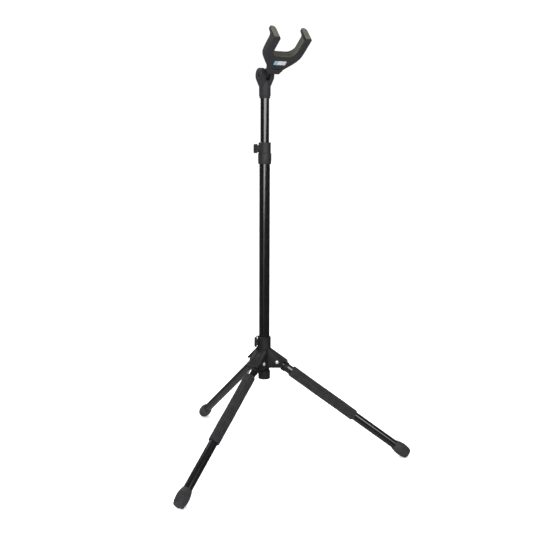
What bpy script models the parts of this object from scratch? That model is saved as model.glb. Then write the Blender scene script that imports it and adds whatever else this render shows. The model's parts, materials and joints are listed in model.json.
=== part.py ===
"""Folding tripod stand with a telescopic column and a tilting, lined yoke, for a saxophone.

Metres, +Z up. The floor is z = 0 and the stand faces -Y. Two legs point forward to the sides and
one straight back, so the column stands in front of the middle of the footprint.
"""

import math

import bmesh
import bpy

MM = 0.001

# ---- driving dimensions -------------------------------------------------------------------

GAP = 0.3 * MM                      # clearance drawn between pieces that touch
ROUND_STEPS = 28                    # sides of a turned piece
SMALL_STEPS = 16                    # sides of a small turned piece

COLUMN_Y = -84.8 * MM               # column axis, measured from the middle of the footprint
LEG_BEARINGS = {"right": -30.0, "left": 210.0, "rear": 90.0}
PADDED_LEGS = ("right", "left")

PIVOT_R = 30.0 * MM                 # leg pivots, from the column axis
PIVOT_Z = 238.0 * MM
LEG_DROP = math.radians(36.0)       # open legs, below the horizontal
LEG_LENGTH = 392.0 * MM             # pivot to the foot's end
LEG_R = 10.3 * MM
LEG_WALL = 1.2 * MM
LEG_COLLAR_R = 12.0 * MM
LEG_COLLAR_START = 18.5 * MM
LEG_COLLAR_END = 29.0 * MM
FOAM_R = 13.5 * MM
FOAM_START = 42.0 * MM
FOAM_END = 230.0 * MM
FOOT_LENGTH = 41.0 * MM
FOOT_MOUTH_R = 11.8 * MM
FOOT_BARREL_R = 15.3 * MM
FOOT_END_R = 11.2 * MM
FOOT_SOCKET = 30.0 * MM             # depth of the tube in the foot
BOLT_R = 3.0 * MM
BOLT_HEAD_R = 4.3 * MM
BOLT_HEAD_H = 2.4 * MM

TUBE_R = 12.5 * MM                  # lower column tube
TUBE_WALL = 1.2 * MM
TUBE_BOTTOM_Z = 197.5 * MM
TUBE_TOP_Z = 723.5 * MM
CAP_R = 14.25 * MM
CAP_BOTTOM_Z = 194.0 * MM
CAP_TOP_Z = 213.5 * MM

COLLAR_R = 15.7 * MM                # hub sleeve around the lower tube
COLLAR_TOP_Z = 296.0 * MM
HUB_BOTTOM_Z = 223.5 * MM
BRACKET_HALF = 15.5 * MM            # half width of a leg bracket over its cheeks
CHEEK_GAP_HALF = LEG_R + 0.45 * MM
CHEEK_FRONT_R = 45.0 * MM           # how far out the cheeks reach
ROOF_END_R = 55.0 * MM              # how far out the sloping roof reaches
ROOF_UNDER = LEG_COLLAR_R + 0.4 * MM    # roof underside, square to the leg axis: the open stop
ROOF_LIP = LEG_COLLAR_R - 1.5 * MM      # lower edge of the roof's side lips
ROOF_TOP = 13.6 * MM
RIB_TOP = 0.8 * MM                  # how far the roof's ribs stand up
RIB_HALF = 1.0 * MM
RIB_SPACING = 7.0 * MM
BOSS_R = 7.5 * MM
BOSS_OUT = 17.0 * MM

KNOB_BEARING = 150.0                # both clamp knobs point between the left and the rear leg
HUB_KNOB_Z = 282.5 * MM
HUB_BOSS_END = 17.0 * MM
HUB_KNOB_R = 12.0 * MM
HUB_KNOB_OUT = 23.5 * MM            # outer end, from the column axis
KNOB_FLUTES = 20
FLUTE_DEPTH = 0.7 * MM
STUD_R = 3.0 * MM
STUD_HOLE_R = STUD_R + GAP
KNOB_BOSS_R = 8.5 * MM
SHOE_LENGTH = 1.9 * MM

CLUTCH_BOTTOM_Z = 701.5 * MM
CLUTCH_SEAM_Z = 726.0 * MM
CLUTCH_TOP_Z = 750.7 * MM
CLUTCH_LOWER_R = 15.3 * MM
CLUTCH_UPPER_R = 14.0 * MM
CLUTCH_KNOB_Z = 736.5 * MM
CLUTCH_BOSS_END = 16.2 * MM
CLUTCH_KNOB_R = 10.3 * MM
CLUTCH_KNOB_OUT = 25.5 * MM

UPPER_R = 10.0 * MM                 # upper column tube
UPPER_WALL = 1.1 * MM
UPPER_BOTTOM_Z = 360.0 * MM
UPPER_TOP_Z = 872.0 * MM

TILT_Z = 900.5 * MM                 # yoke pivot height
TILT_REST = math.radians(38.5)      # arms above the horizontal
NECK_BOTTOM_Z = 849.5 * MM
NECK_R = 13.3 * MM
FORK_HALF = 15.5 * MM               # half width of the fork over its cheeks
FORK_DEPTH_R = 16.4 * MM            # rounded fork head, seen from the side
TILT_HEAD_R = 4.6 * MM
SLOT_HALF = 5.5 * MM
SLOT_DEPTH = 13.0 * MM              # slot floor below the pivot

TONGUE_HALF = 4.6 * MM
ARM_OUT = 46.8 * MM                 # yoke half width
NOTCH_HALF = 31.4 * MM              # bare notch, before its lining
NOTCH_BASE = 82.3 * MM              # pivot to the bare notch's base
NOTCH_CORNER = 20.0 * MM
LINING = 3.0 * MM
ARM_END = 138.0 * MM                # pivot to the arms' end faces
ARM_UNDER = -24.5 * MM              # underside of the arms, across the pivot plane
ARM_TOP = -6.5 * MM
TIP_TOP = 12.5 * MM                 # top of the hooked-up tips
TIP_THICK = 5.2 * MM
TIP_LEAN = math.radians(2.0)
PAD_PROUD = 1.4 * MM
PAD_RECESS = 1.2 * MM

FLOOR_DEPTH = 60.0 * MM             # block that trims the feet flat on the floor

# ---- scene and helpers --------------------------------------------------------------------

for leftover in list(bpy.data.objects):
    bpy.data.objects.remove(leftover)

PARTS = bpy.data.collections.new("saxophone_stand")
CUTTERS = bpy.data.collections.new("cutters")
bpy.context.scene.collection.children.link(PARTS)
bpy.context.scene.collection.children.link(CUTTERS)


def make_material(name, colour, roughness, metallic=0.0):
    material = bpy.data.materials.new(name)
    material.use_nodes = True
    shader = material.node_tree.nodes["Principled BSDF"]
    shader.inputs["Base Color"].default_value = (*colour, 1.0)
    shader.inputs["Roughness"].default_value = roughness
    shader.inputs["Metallic"].default_value = metallic
    return material


BLACK_ENAMEL = make_material("black_enamel", (0.012, 0.012, 0.014), 0.22)
BLACK_PLASTIC = make_material("black_plastic", (0.035, 0.035, 0.038), 0.55)
GREY_PLASTIC = make_material("grey_plastic", (0.06, 0.062, 0.07), 0.5)
RUBBER = make_material("rubber", (0.03, 0.03, 0.032), 0.75)
FOAM = make_material("foam", (0.03, 0.031, 0.034), 0.9)
OLIVE_RUBBER = make_material("olive_rubber", (0.16, 0.16, 0.12), 0.8)
ZINC = make_material("bright_zinc", (0.75, 0.75, 0.76), 0.25, 1.0)
NYLON = make_material("nylon", (0.5, 0.5, 0.48), 0.6)
BRASS = make_material("brass", (0.6, 0.45, 0.2), 0.35, 1.0)
LABEL = make_material("label", (0.75, 0.8, 0.85), 0.45)


def make_frame(name, parent=None, place=(0, 0, 0), turn=(0, 0, 0)):
    """An empty that carries pieces: a joint's axis or a leg's own coordinates."""
    frame = bpy.data.objects.new(name, None)
    PARTS.objects.link(frame)
    frame.parent = parent
    frame.location = place
    frame.rotation_euler = turn
    return frame


def add_piece(name, mesh, parent, material=None, place=(0, 0, 0), turn=(0, 0, 0)):
    """A part if it has a material, else a cutter."""
    piece = bpy.data.objects.new(name, mesh)
    piece.parent = parent
    piece.location = place
    piece.rotation_euler = turn
    if material is None:
        CUTTERS.objects.link(piece)
        piece.hide_render = True
        piece.display_type = "WIRE"
    else:
        PARTS.objects.link(piece)
        mesh.materials.append(material)
        mesh.shade_smooth()
        mesh.set_sharp_from_angle(angle=math.radians(40))
    return piece


def turned(name, profile, parent, material=None, place=(0, 0, 0), turn=(0, 0, 0), steps=ROUND_STEPS):
    """Solid of revolution about local Z. The profile is (radius, height) points, top to bottom on the
    outer side. It ends on the axis, or closes on itself where it keeps off the axis."""
    mesh = bpy.data.meshes.new(name)
    points = [(radius, 0.0, height) for radius, height in profile]
    edges = [(i, i + 1) for i in range(len(points) - 1)]
    if min(radius for radius, height in profile) > 0:
        edges.append((len(points) - 1, 0))
    mesh.from_pydata(points, edges, [])
    piece = add_piece(name, mesh, parent, material, place, turn)
    screw = piece.modifiers.new("turn", "SCREW")
    screw.steps = steps
    screw.render_steps = steps
    screw.use_merge_vertices = True
    screw.merge_threshold = 0.00001
    screw.use_smooth_shade = True
    return piece


def rod(name, radius, start, end, parent, material=None, place=(0, 0, 0), turn=(0, 0, 0), steps=SMALL_STEPS):
    """Plain round bar along local Z."""
    profile = [(0, end), (radius, end), (radius, start), (0, start)]
    return turned(name, profile, parent, material, place, turn, steps)


def pipe(name, radius, wall, start, end, parent, material, place=(0, 0, 0), turn=(0, 0, 0)):
    """Open tube along local Z."""
    inner = radius - wall
    profile = [(radius, end), (radius, start), (inner, start), (inner, end)]
    return turned(name, profile, parent, material, place, turn)


def plate(name, outline, low, high, parent, material=None, place=(0, 0, 0), turn=(0, 0, 0)):
    """Flat outline in local XY, filled and extruded from low to high along local Z."""
    curve = bpy.data.curves.new(name, "CURVE")
    curve.dimensions = "2D"
    curve.fill_mode = "BOTH"
    curve.extrude = (high - low) / 2
    spline = curve.splines.new("POLY")
    spline.points.add(len(outline) - 1)
    for point, (x, y) in zip(spline.points, outline):
        point.co = (x, y, 0, 1)
    spline.use_cyclic_u = True
    drawn = bpy.data.objects.new(name + "_outline", curve)
    CUTTERS.objects.link(drawn)
    graph = bpy.context.evaluated_depsgraph_get()
    mesh = bpy.data.meshes.new_from_object(drawn.evaluated_get(graph))
    bpy.data.objects.remove(drawn)
    solid = bmesh.new()
    solid.from_mesh(mesh)
    bmesh.ops.remove_doubles(solid, verts=solid.verts, dist=0.00001)
    bmesh.ops.translate(solid, verts=solid.verts, vec=(0, 0, (high + low) / 2))
    bmesh.ops.recalc_face_normals(solid, faces=solid.faces)
    solid.to_mesh(mesh)
    solid.free()
    mesh.name = name
    return add_piece(name, mesh, parent, material, place, turn)


def arc(centre, radius, start, end, steps=6):
    """Points on an arc in the plane, angles in degrees."""
    points = []
    for i in range(steps + 1):
        angle = math.radians(start + (end - start) * i / steps)
        points.append((centre[0] + radius * math.cos(angle), centre[1] + radius * math.sin(angle)))
    return points


def combine(piece, other, operation, solver="EXACT"):
    step = piece.modifiers.new(operation.lower() + "_" + other.name, "BOOLEAN")
    step.operation = operation
    step.solver = solver
    step.object = other
    return piece


def cut(piece, *cutters, solver="EXACT"):
    for cutter in cutters:
        combine(piece, cutter, "DIFFERENCE", solver)


def join(piece, *shapes, solver="EXACT"):
    for shape in shapes:
        combine(piece, shape, "UNION", solver)


SIDE_ON = (math.pi / 2, 0, 0)       # local XY becomes XZ
ALONG_X = (0, math.pi / 2, 0)       # local Z becomes X
ALONG_Y = (-math.pi / 2, 0, 0)      # local Z becomes Y

stand = make_frame("stand", place=(0, COLUMN_Y, 0))

# ---- hub ----------------------------------------------------------------------------------


def roof_height(radius, above_leg):
    """Height of a line parallel to the open leg, at this distance from the column axis."""
    return PIVOT_Z - (radius - PIVOT_R) * math.tan(LEG_DROP) + above_leg / math.cos(LEG_DROP)


def make_bracket(side, bearing):
    """Inverted U that holds one leg: two cheeks under a sloping roof."""
    frame = make_frame("bracket_" + side, stand, turn=(0, 0, math.radians(bearing)))
    inner = 6 * MM
    corner = 7 * MM
    outline = [(inner, HUB_BOTTOM_Z)]
    outline += arc((CHEEK_FRONT_R - corner, HUB_BOTTOM_Z + corner), corner, -90, 0)
    outline += [
        (CHEEK_FRONT_R, roof_height(CHEEK_FRONT_R, ROOF_LIP)),
        (ROOF_END_R, roof_height(ROOF_END_R, ROOF_LIP)),
        (ROOF_END_R + 1.2 * MM, roof_height(ROOF_END_R, ROOF_TOP - 1 * MM)),
        (ROOF_END_R, roof_height(ROOF_END_R, ROOF_TOP)),
        (inner, roof_height(inner, ROOF_TOP)),
    ]
    body = plate("bracket_body_" + side, outline, -BRACKET_HALF, BRACKET_HALF, frame, turn=SIDE_ON)
    ribs = []
    rib_start = COLLAR_R - 3 * MM
    rib_end = ROOF_END_R - 2 * MM
    for number in (-1, 0, 1):
        middle = number * RIB_SPACING
        rib_line = [
            (rib_start, roof_height(rib_start, ROOF_TOP - 0.6 * MM)),
            (rib_end, roof_height(rib_end, ROOF_TOP - 0.6 * MM)),
            (rib_end - 1 * MM, roof_height(rib_end - 1 * MM, ROOF_TOP + RIB_TOP)),
            (rib_start, roof_height(rib_start, ROOF_TOP + RIB_TOP)),
        ]
        name = "bracket_rib_" + side + str(number + 2)
        ribs.append(plate(name, rib_line, middle - RIB_HALF, middle + RIB_HALF, frame, turn=SIDE_ON))
    boss = rod("bracket_boss_" + side, BOSS_R, -BOSS_OUT, BOSS_OUT, frame,
               place=(PIVOT_R, 0, PIVOT_Z), turn=ALONG_Y, steps=24)
    slot_start = COLLAR_R + 0.2 * MM
    slot_end = ROOF_END_R + 10 * MM
    slot_line = [
        (slot_start, HUB_BOTTOM_Z - 5 * MM),
        (slot_end, HUB_BOTTOM_Z - 5 * MM),
        (slot_end, roof_height(slot_end, ROOF_UNDER)),
        (slot_start, roof_height(slot_start, ROOF_UNDER)),
    ]
    slot = plate("bracket_slot_" + side, slot_line, -CHEEK_GAP_HALF, CHEEK_GAP_HALF, frame, turn=SIDE_ON)
    hole = rod("bracket_hole_" + side, BOLT_R + GAP, -2 * BOSS_OUT, 2 * BOSS_OUT, frame,
               place=(PIVOT_R, 0, PIVOT_Z), turn=ALONG_Y)
    join(body, boss, *ribs, solver="MANIFOLD")
    cut(body, slot, hole, solver="MANIFOLD")
    make_pivot_bolt(side, frame)
    return body


def dome(radius, height, base, steps=4):
    """Profile of a low domed head above base, from the axis to its rim."""
    points = []
    for i in range(steps + 1):
        angle = math.pi / 2 * (1 - i / steps)
        reach = radius * math.cos(angle)
        points.append((0 if i == 0 else reach, base + height * (0.25 + 0.75 * math.sin(angle))))
    return points + [(radius, base)]


def make_pivot_bolt(side, frame):
    """Bolt through both cheeks and the leg, and the cap nut that meets it in the far cheek."""
    place = (PIVOT_R, 0, PIVOT_Z)
    seat = BOSS_OUT + GAP
    meeting = CHEEK_GAP_HALF + 3 * MM
    bolt = dome(BOLT_HEAD_R, BOLT_HEAD_H, seat) + [(BOLT_R, seat), (BOLT_R, -meeting), (0, -meeting)]
    turned("pivot_bolt_" + side, bolt, frame, ZINC, place, ALONG_Y, SMALL_STEPS)
    nut = dome(BOLT_HEAD_R, BOLT_HEAD_H, seat) + [(BOLT_R, seat), (BOLT_R, meeting + GAP), (0, meeting + GAP)]
    turned("pivot_nut_" + side, nut, frame, ZINC, place, (math.pi / 2, 0, 0), SMALL_STEPS)


def make_hub():
    sleeve = [
        (0, COLLAR_TOP_Z),
        (COLLAR_R - 0.8 * MM, COLLAR_TOP_Z),
        (COLLAR_R, COLLAR_TOP_Z - 0.8 * MM),
        (COLLAR_R, HUB_BOTTOM_Z - 1 * MM),
        (0, HUB_BOTTOM_Z - 1 * MM),
    ]
    hub = turned("hub_casting", sleeve, stand, BLACK_PLASTIC, steps=32)
    for side, bearing in LEG_BEARINGS.items():
        join(hub, make_bracket(side, bearing), solver="MANIFOLD")
    knob_frame = make_frame("hub_knob_axis", stand, (0, 0, HUB_KNOB_Z), (0, 0, math.radians(KNOB_BEARING)))
    boss = rod("hub_knob_boss", KNOB_BOSS_R, 0, HUB_BOSS_END, knob_frame, turn=ALONG_X)
    eye_out = COLLAR_R + 0.6 * MM
    eye_z = COLLAR_TOP_Z - HUB_KNOB_Z + 1.2 * MM
    eye = rod("eyelet_body", 3.1 * MM, -0.9 * MM, 0.9 * MM, knob_frame,
              place=(eye_out, 0, eye_z), turn=ALONG_Y)
    eye_hole = rod("eyelet_hole", 1.5 * MM, -6 * MM, 6 * MM, knob_frame,
                   place=(eye_out + 0.2 * MM, 0, eye_z + 0.4 * MM), turn=ALONG_Y)
    join(hub, boss, eye, solver="MANIFOLD")
    bore = rod("hub_bore", TUBE_R + 0.2 * MM, 0.1, 0.4, stand, steps=ROUND_STEPS)
    stud_hole = rod("hub_stud_hole", STUD_HOLE_R, 5 * MM, 40 * MM, knob_frame, turn=ALONG_X)
    cut(hub, bore, eye_hole, stud_hole, solver="MANIFOLD")
    make_knob("hub", knob_frame, TUBE_R + GAP, HUB_BOSS_END, HUB_KNOB_R, HUB_KNOB_OUT)


def flute_outline(radius):
    """Rim of a clamp knob, with a hollow between each two of its ribs."""
    points = []
    for number in range(KNOB_FLUTES):
        for part, depth in ((0.0, 0.0), (0.4, 0.0), (0.55, FLUTE_DEPTH), (0.85, FLUTE_DEPTH)):
            angle = 2 * math.pi * (number + part) / KNOB_FLUTES
            reach = radius + 0.05 * MM - depth
            points.append((reach * math.cos(angle), reach * math.sin(angle)))
    return points


def make_knob(prefix, frame, shoe_start, boss_end, radius, outer_end):
    """Clamp knob on its threaded stud, and the brass shoe that it presses on the tube."""
    shoe_end = shoe_start + SHOE_LENGTH
    rod(prefix + "_shoe", STUD_R, shoe_start, shoe_end, frame, BRASS, turn=ALONG_X)
    grip_start = boss_end + 0.4 * MM
    edge = 0.9 * MM
    knob = [
        (0, outer_end),
        (radius - 2 * edge, outer_end),
        (radius, outer_end - edge),
        (radius, grip_start + edge),
        (radius - edge, grip_start),
        (STUD_R, grip_start),
        (STUD_R, shoe_end + GAP),
        (0, shoe_end + GAP),
    ]
    knob_piece = turned(prefix + "_knob", knob, frame, BLACK_PLASTIC, turn=ALONG_X, steps=40)
    flutes = plate(prefix + "_flutes", flute_outline(radius), 0, 40 * MM, frame, turn=ALONG_X)
    combine(knob_piece, flutes, "INTERSECT", "MANIFOLD")


make_hub()

# ---- legs ---------------------------------------------------------------------------------


def rounded_end(name, radius, reach, frame):
    """Side outline that rounds a leg's end about its pivot."""
    outline = [(reach, -radius)] + [(reach, radius)] + arc((0, 0), radius, 90, 270, 10)
    return plate(name, outline, -20 * MM, 20 * MM, frame, turn=SIDE_ON)


def make_leg(side, bearing):
    turn = math.radians(bearing)
    place = (PIVOT_R * math.cos(turn), PIVOT_R * math.sin(turn), PIVOT_Z)
    leg = make_frame("leg_pivot_" + side, stand, place, (0, LEG_DROP, turn))
    foot_start = LEG_LENGTH - FOOT_LENGTH
    tube_end = foot_start + FOOT_SOCKET

    hole = rod("leg_hole_" + side, BOLT_R + GAP, -20 * MM, 20 * MM, leg, turn=ALONG_Y)
    tube = pipe("leg_tube_" + side, LEG_R, LEG_WALL, -LEG_R - 5 * MM, tube_end, leg, BLACK_ENAMEL,
                turn=ALONG_X)
    shape = rounded_end("leg_end_shape_" + side, LEG_R + 0.1 * MM, LEG_LENGTH, leg)
    combine(tube, shape, "INTERSECT")
    cut(tube, hole)

    plug_r = LEG_R - LEG_WALL - GAP
    plug = rod("leg_bush_" + side, plug_r, -LEG_R - 5 * MM, 22 * MM, leg, NYLON,
               turn=ALONG_X, steps=ROUND_STEPS)
    plug_shape = rounded_end("leg_bush_shape_" + side, LEG_R - 0.4 * MM, LEG_LENGTH, leg)
    combine(plug, plug_shape, "INTERSECT")
    cut(plug, hole)

    bore = LEG_R + GAP
    lip = 0.8 * MM
    collar = [
        (LEG_COLLAR_R - lip, LEG_COLLAR_END),
        (LEG_COLLAR_R, LEG_COLLAR_END - lip),
        (LEG_COLLAR_R, LEG_COLLAR_START + lip),
        (LEG_COLLAR_R - lip, LEG_COLLAR_START),
        (bore, LEG_COLLAR_START),
        (bore, LEG_COLLAR_END),
    ]
    turned("leg_collar_" + side, collar, leg, BLACK_PLASTIC, turn=ALONG_X)

    if side in PADDED_LEGS:
        edge = 1.5 * MM
        foam = [
            (FOAM_R - edge, FOAM_END),
            (FOAM_R, FOAM_END - edge),
            (FOAM_R, FOAM_START + edge),
            (FOAM_R - edge, FOAM_START),
            (bore, FOAM_START),
            (bore, FOAM_END),
        ]
        turned("foam_grip_" + side, foam, leg, FOAM, turn=ALONG_X)
    make_foot(side, leg, foot_start)


def make_foot(side, leg, start):
    """Barrel-shaped rubber foot, flat where it stands on the floor."""
    end = LEG_LENGTH
    socket = LEG_R + GAP
    profile = [
        (0, end),
        (FOOT_END_R - 0.8 * MM, end),
        (FOOT_END_R, end - 0.8 * MM),
        (FOOT_END_R + 1.6 * MM, end - 4 * MM),
        (FOOT_BARREL_R - 0.9 * MM, end - 10 * MM),
        (FOOT_BARREL_R, end - 18 * MM),
        (FOOT_BARREL_R, start + 16 * MM),
        (FOOT_BARREL_R - 1 * MM, start + 11 * MM),
        (FOOT_MOUTH_R + 0.7 * MM, start + 4 * MM),
        (FOOT_MOUTH_R, start),
        (socket, start),
        (socket, start + FOOT_SOCKET + GAP),
        (0, start + FOOT_SOCKET + GAP),
    ]
    foot = turned("foot_" + side, profile, leg, RUBBER, turn=ALONG_X)
    cut(foot, floor_block)


floor_mesh = bpy.data.meshes.new("floor_block")
block = bmesh.new()
bmesh.ops.create_cube(block, size=1.0)
bmesh.ops.scale(block, verts=block.verts, vec=(1.2, 1.2, FLOOR_DEPTH))
block.to_mesh(floor_mesh)
block.free()
floor_block = add_piece("floor_block", floor_mesh, None, place=(0, 0, -FLOOR_DEPTH / 2))

for leg_side, leg_bearing in LEG_BEARINGS.items():
    make_leg(leg_side, leg_bearing)

# ---- column -------------------------------------------------------------------------------


def make_lower_column():
    pipe("lower_tube", TUBE_R, TUBE_WALL, TUBE_BOTTOM_Z, TUBE_TOP_Z, stand, BLACK_ENAMEL)
    socket = TUBE_R + GAP
    floor = TUBE_BOTTOM_Z - GAP
    cap = [
        (0, floor),
        (socket, floor),
        (socket, CAP_TOP_Z),
        (CAP_R - 0.6 * MM, CAP_TOP_Z),
        (CAP_R, CAP_TOP_Z - 0.6 * MM),
        (CAP_R, CAP_BOTTOM_Z + 1.2 * MM),
        (CAP_R - 1.2 * MM, CAP_BOTTOM_Z),
        (0, CAP_BOTTOM_Z),
    ]
    turned("end_cap", cap, stand, BLACK_PLASTIC)

    knob_frame = make_frame("clutch_knob_axis", stand, (0, 0, CLUTCH_KNOB_Z),
                            (0, 0, math.radians(KNOB_BEARING)))
    upper_bore = UPPER_R + 0.25 * MM
    seat = TUBE_TOP_Z + GAP
    edge = 0.8 * MM
    sleeve = [
        (CLUTCH_UPPER_R - edge, CLUTCH_TOP_Z),
        (CLUTCH_UPPER_R, CLUTCH_TOP_Z - edge),
        (CLUTCH_UPPER_R, CLUTCH_SEAM_Z),
        (CLUTCH_LOWER_R, CLUTCH_SEAM_Z - 0.6 * MM),
        (CLUTCH_LOWER_R, CLUTCH_BOTTOM_Z + edge),
        (CLUTCH_LOWER_R - edge, CLUTCH_BOTTOM_Z),
        (socket, CLUTCH_BOTTOM_Z),
        (socket, seat),
        (upper_bore, seat),
        (upper_bore, CLUTCH_TOP_Z),
    ]
    body = turned("clutch_body", sleeve, stand, BLACK_PLASTIC, steps=32)
    boss = rod("clutch_boss", KNOB_BOSS_R, UPPER_R + 0.5 * MM, CLUTCH_BOSS_END, knob_frame, turn=ALONG_X)
    stud_hole = rod("clutch_stud_hole", STUD_HOLE_R, 5 * MM, 40 * MM, knob_frame, turn=ALONG_X)
    join(body, boss)
    cut(body, stud_hole)
    make_knob("clutch", knob_frame, UPPER_R + GAP, CLUTCH_BOSS_END, CLUTCH_KNOB_R, CLUTCH_KNOB_OUT)


def make_upper_column():
    pipe("upper_tube", UPPER_R, UPPER_WALL, UPPER_BOTTOM_Z, UPPER_TOP_Z, stand, BLACK_ENAMEL)
    guide = TUBE_R - TUBE_WALL - 0.25 * MM
    spigot = UPPER_R - UPPER_WALL - GAP
    shoulder = UPPER_BOTTOM_Z - GAP
    plug = [
        (0, UPPER_BOTTOM_Z + 20 * MM),
        (spigot - 1 * MM, UPPER_BOTTOM_Z + 20 * MM),
        (spigot, UPPER_BOTTOM_Z + 19 * MM),
        (spigot, shoulder),
        (guide, shoulder),
        (guide, shoulder - 12 * MM),
        (guide - 1 * MM, shoulder - 13 * MM),
        (0, shoulder - 13 * MM),
    ]
    turned("guide_plug", plug, stand, NYLON)


make_lower_column()
make_upper_column()

# ---- tilting head -------------------------------------------------------------------------


def make_fork():
    """Round neck that flares into two cheeks, with a slot between them for the yoke's tongue."""
    head = make_frame("fork_axis", stand, (0, 0, TILT_Z))
    flare_start = -24 * MM
    flare_end = -8 * MM
    neck_end = NECK_BOTTOM_Z - TILT_Z
    neck = [
        (0, flare_start + 10 * MM),
        (NECK_R, flare_start + 10 * MM),
        (NECK_R, neck_end + 5.5 * MM),
        (NECK_R - 1 * MM, neck_end + 5 * MM),
        (NECK_R - 1 * MM, neck_end + 1 * MM),
        (NECK_R - 1.6 * MM, neck_end),
        (0, neck_end),
    ]
    fork = turned("head_fork", neck, head, GREY_PLASTIC)
    side_line = [(-NECK_R * 0.75, flare_start), (NECK_R * 0.75, flare_start)]
    side_line += arc((0, 0), FORK_DEPTH_R, -28, 208, 16)
    cheeks = plate("fork_cheeks", side_line, -30 * MM, 30 * MM, head, turn=(math.pi / 2, 0, math.pi / 2))
    front_line = [
        (-NECK_R * 0.75, flare_start - 1 * MM),
        (NECK_R * 0.75, flare_start - 1 * MM),
        (FORK_HALF, flare_end),
        (FORK_HALF, 12 * MM),
        (FORK_HALF - 1.5 * MM, 30 * MM),
        (1.5 * MM - FORK_HALF, 30 * MM),
        (-FORK_HALF, 12 * MM),
        (-FORK_HALF, flare_end),
    ]
    front = plate("fork_front", front_line, -30 * MM, 30 * MM, head, turn=SIDE_ON)
    combine(cheeks, front, "INTERSECT", "MANIFOLD")
    join(fork, cheeks, solver="MANIFOLD")
    slot_line = arc((0, SLOT_HALF - SLOT_DEPTH), SLOT_HALF, 180, 360, 8)
    slot_line += [(SLOT_HALF, 40 * MM), (-SLOT_HALF, 40 * MM)]
    slot = plate("fork_slot", slot_line, -30 * MM, 30 * MM, head, turn=SIDE_ON)
    bolt_hole = rod("fork_bolt_hole", BOLT_R + GAP, -30 * MM, 30 * MM, head, turn=ALONG_X)
    recess_in = FORK_HALF - 2.6 * MM
    recess_r = TILT_HEAD_R + 0.4 * MM
    recess_right = rod("fork_recess_right", recess_r, recess_in, 30 * MM, head, turn=ALONG_X, steps=24)
    recess_left = rod("fork_recess_left", recess_r, -30 * MM, -recess_in, head, turn=ALONG_X, steps=24)
    socket = rod("fork_socket", UPPER_R + GAP, -80 * MM, UPPER_TOP_Z + GAP - TILT_Z, head, steps=ROUND_STEPS)
    screw_z = 861.0 * MM - TILT_Z
    screw_hole = rod("fork_screw_hole", 2.0 * MM, 5 * MM, 30 * MM, head,
                     place=(0, 0, screw_z), turn=(0, math.pi / 2, math.radians(KNOB_BEARING)))
    cut(fork, slot, bolt_hole, recess_right, recess_left, socket, screw_hole, solver="MANIFOLD")

    rod("head_screw", 1.7 * MM, UPPER_R + GAP, NECK_R - 0.8 * MM, head, ZINC,
        (0, 0, screw_z), (0, math.pi / 2, math.radians(KNOB_BEARING)))
    seat = recess_in + GAP
    meeting = SLOT_HALF + 3 * MM
    bolt = dome(TILT_HEAD_R, 2.2 * MM, seat) + [(BOLT_R, seat), (BOLT_R, -meeting), (0, -meeting)]
    turned("tilt_bolt", bolt, head, BLACK_ENAMEL, turn=ALONG_X, steps=SMALL_STEPS)
    nut = dome(TILT_HEAD_R, 2.2 * MM, seat) + [(BOLT_R, seat), (BOLT_R, meeting + GAP), (0, meeting + GAP)]
    turned("tilt_nut", nut, head, BLACK_ENAMEL, turn=(0, -math.pi / 2, 0), steps=SMALL_STEPS)


make_fork()

# ---- yoke ---------------------------------------------------------------------------------


def notch_path(half, base, corner, end):
    """Open U path of a notch, from the right tip round the base to the left tip."""
    path = [(half, end)]
    path += arc((half - corner, base + corner), corner, 0, -90, 8)
    path += arc((corner - half, base + corner), corner, -90, -180, 8)
    return path + [(-half, end)]


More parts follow.
